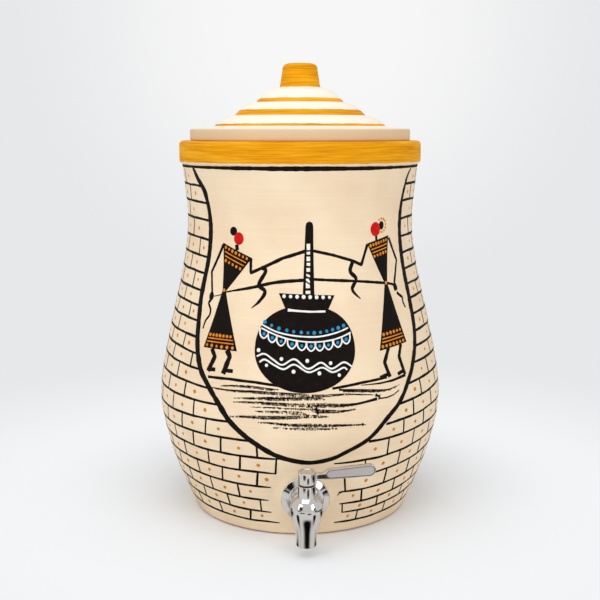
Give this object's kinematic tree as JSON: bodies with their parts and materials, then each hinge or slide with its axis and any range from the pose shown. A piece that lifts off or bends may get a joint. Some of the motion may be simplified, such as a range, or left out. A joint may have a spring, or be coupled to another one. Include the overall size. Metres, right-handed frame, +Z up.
{
  "type": "clay water pot with tap",
  "caption": "Painted clay water pot with a stepped loose lid on a thick rim and a small quarter-turn tap with a side lever low at the front.",
  "frame": {"origin": "middle of the flat foot, on the surface that the pot stands on", "axes": "+Z up along the pot's axis, tap at the front on -Y, lever to the right on +X when closed"},
  "size_m": [0.255, 0.284, 0.398],
  "materials": {
    "cream_clay": "unglazed clay with a cream slip, painted by hand",
    "polished_plate": "polished nickel-chrome plate",
    "plain_steel": "plain stainless steel",
    "nut_brass": "turned brass",
    "core_brass": "turned brass",
    "seal_rubber": "black rubber",
    "white_ptfe": "white slippery plastic"
  },
  "bodies": {
    "pot": {"pot_body": "cream_clay", "tap_body": "polished_plate", "wall_flange": "polished_plate", "outer_gasket": "seal_rubber", "inner_gasket": "seal_rubber", "clamp_washer": "plain_steel", "lock_nut": "nut_brass", "inlet_seal": "seal_rubber", "thrust_washer": "white_ptfe", "gland_nut": "nut_brass", "stem_o_ring": "seal_rubber", "stop_pin": "plain_steel"},
    "lid": {"lid": "cream_clay"},
    "lever": {"lever": "polished_plate", "valve_core": "core_brass", "core_o_rings": "seal_rubber", "lever_screw": "plain_steel", "spring_washer": "plain_steel", "cap_plug": "polished_plate"}
  },
  "joints": [
    {"name": "lid_lift", "type": "slide", "parent": "pot", "child": "lid", "axis": [0, 0, 1], "range_m": [0, 0.1]},
    {"name": "tap_lever", "type": "hinge", "parent": "pot", "child": "lever", "pos_m": [0, -0.14288, 0.03739], "axis": [0, 0.1045, -0.9945], "range_deg": [0, 90]}
  ]
}
